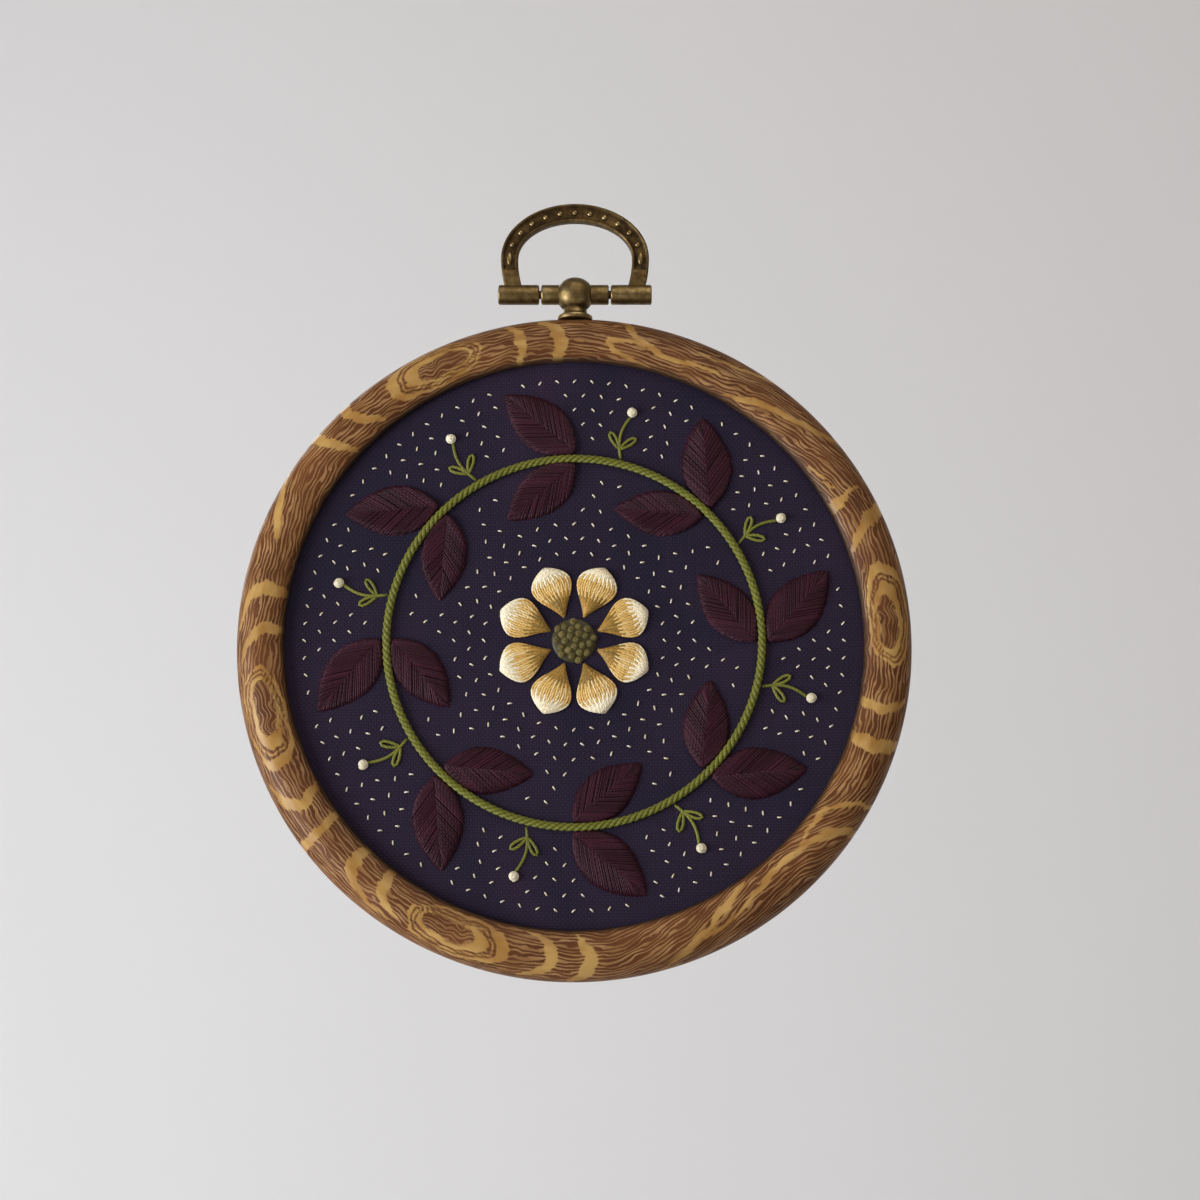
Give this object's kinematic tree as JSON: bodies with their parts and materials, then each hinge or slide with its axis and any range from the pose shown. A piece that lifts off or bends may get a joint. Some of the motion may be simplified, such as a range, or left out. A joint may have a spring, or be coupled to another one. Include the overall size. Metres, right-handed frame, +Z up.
{
  "type": "hoop embroidery art with its flexible hoop",
  "caption": "Stitched dark cotton disc stretched in a round woodgrain vinyl hoop, which swings from a hinged brass bail.",
  "frame": {"origin": "the place inside the top of the bail where a nail bears", "axes": "+Z up, +Y from the stitched face to the flat back, +X to the right of someone facing the stitching"},
  "size_m": [0.1152, 0.0085, 0.1367],
  "materials": {
    "woodgrain_vinyl": "soft moulded vinyl with a wiped woodgrain, satin",
    "plain_vinyl": "plain moulded vinyl, satin",
    "indigo_cotton": "plain-weave cotton, dyed dark indigo",
    "antique_brass": "antiqued brass plating, worn bright on the edges",
    "plum_thread": "stranded cotton in satin stitch",
    "ochre_thread": "stranded cotton in long and short stitch",
    "olive_brown_thread": "stranded cotton in French knots",
    "olive_thread": "stranded cotton in stem stitch",
    "cream_thread": "stranded cotton in knots and seed stitch"
  },
  "bodies": {
    "bail": {"hanger_bail": "antique_brass", "hinge_pin": "antique_brass"},
    "hoop": {"outer_ring": "woodgrain_vinyl", "inner_ring": "plain_vinyl", "ground_cloth": "indigo_cotton", "hanger_post": "antique_brass", "stitched_stem": "olive_thread", "flower_heart": "olive_brown_thread", "outer_leaf_1": "plum_thread", "outer_leaf_2": "plum_thread", "outer_leaf_3": "plum_thread", "outer_leaf_4": "plum_thread", "outer_leaf_5": "plum_thread", "outer_leaf_6": "plum_thread", "outer_leaf_7": "plum_thread", "outer_leaf_8": "plum_thread", "inner_leaf_1": "plum_thread", "inner_leaf_2": "plum_thread", "inner_leaf_3": "plum_thread", "inner_leaf_4": "plum_thread", "inner_leaf_5": "plum_thread", "inner_leaf_6": "plum_thread", "inner_leaf_7": "plum_thread", "inner_leaf_8": "plum_thread", "petal_1": "ochre_thread", "petal_2": "ochre_thread", "petal_3": "ochre_thread", "petal_4": "ochre_thread", "petal_5": "ochre_thread", "petal_6": "ochre_thread", "petal_7": "ochre_thread", "petal_8": "ochre_thread", "knot_1": "cream_thread", "knot_2": "cream_thread", "knot_3": "cream_thread", "knot_4": "cream_thread", "knot_5": "cream_thread", "knot_6": "cream_thread", "knot_7": "cream_thread", "knot_8": "cream_thread"}
  },
  "joints": [
    {"name": "bail_swing", "type": "hinge", "parent": "bail", "child": "hoop", "pos_m": [0, 0, -0.0134], "axis": [1, 0, 0], "range_deg": [-140, 140]}
  ]
}
